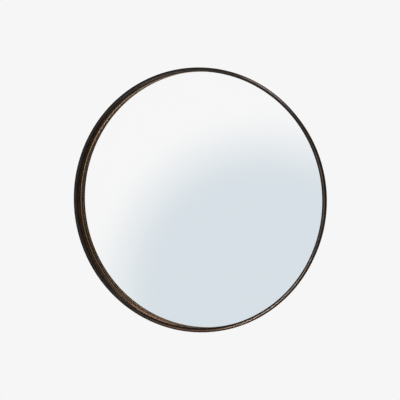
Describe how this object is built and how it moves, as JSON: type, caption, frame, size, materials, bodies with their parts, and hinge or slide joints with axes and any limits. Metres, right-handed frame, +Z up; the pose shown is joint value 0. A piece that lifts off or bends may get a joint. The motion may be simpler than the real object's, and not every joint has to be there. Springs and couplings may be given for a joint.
{
  "type": "round wall mirror",
  "caption": "Round wall mirror whose glass sits deep behind a slim half-round bronze rim, with a boarded back and swinging hanging rings.",
  "frame": {"origin": "centre of the mirror on the plane of the wall, at the back face of the felt ring", "axes": "+Z up, +Y into the wall, so the glass faces -Y, and +X to the right of a viewer in front"},
  "size_m": [0.6099, 0.0557, 0.61],
  "materials": {
    "dark_bronze": "satin",
    "worn_bronze": "satin",
    "black_steel": "matte",
    "mirror_glass": "polished",
    "grey_film": "satin",
    "black_plastic": "matte",
    "black_foam_tape": "matte",
    "white_foam": "matte",
    "fibreboard": "matte",
    "black_fibreboard": "matte",
    "dark_felt": "matte",
    "zinc_plated_steel": "satin"
  },
  "bodies": {
    "mirror": {"front_bezel": "dark_bronze", "frame_band": "dark_bronze", "rear_ring": "black_steel", "glazing_bead": "worn_bronze", "mirror_glass": "mirror_glass", "safety_film": "grey_film", "setting_blocks": "black_plastic", "glazing_tape": "black_foam_tape", "foam_pad": "white_foam", "back_panel": "fibreboard", "panel_washers": "zinc_plated_steel", "panel_screws": "zinc_plated_steel", "spacer_ring": "black_fibreboard", "spacer_screws": "zinc_plated_steel", "wall_felt": "dark_felt", "hanger_strap_left": "zinc_plated_steel", "hanger_strap_right": "zinc_plated_steel", "hanger_screws": "zinc_plated_steel"},
    "ring_left": {"d_ring_left": "zinc_plated_steel"},
    "ring_right": {"d_ring_right": "zinc_plated_steel"}
  },
  "joints": [
    {"name": "left_ring_swing", "type": "hinge", "parent": "mirror", "child": "ring_left", "pos_m": [-0.13016, -0.0066, 0.14973], "axis": [1, 0, 0], "range_deg": [0, 176]},
    {"name": "right_ring_swing", "type": "hinge", "parent": "mirror", "child": "ring_right", "pos_m": [0.13016, -0.0066, 0.14973], "axis": [1, 0, 0], "range_deg": [0, 176]}
  ]
}
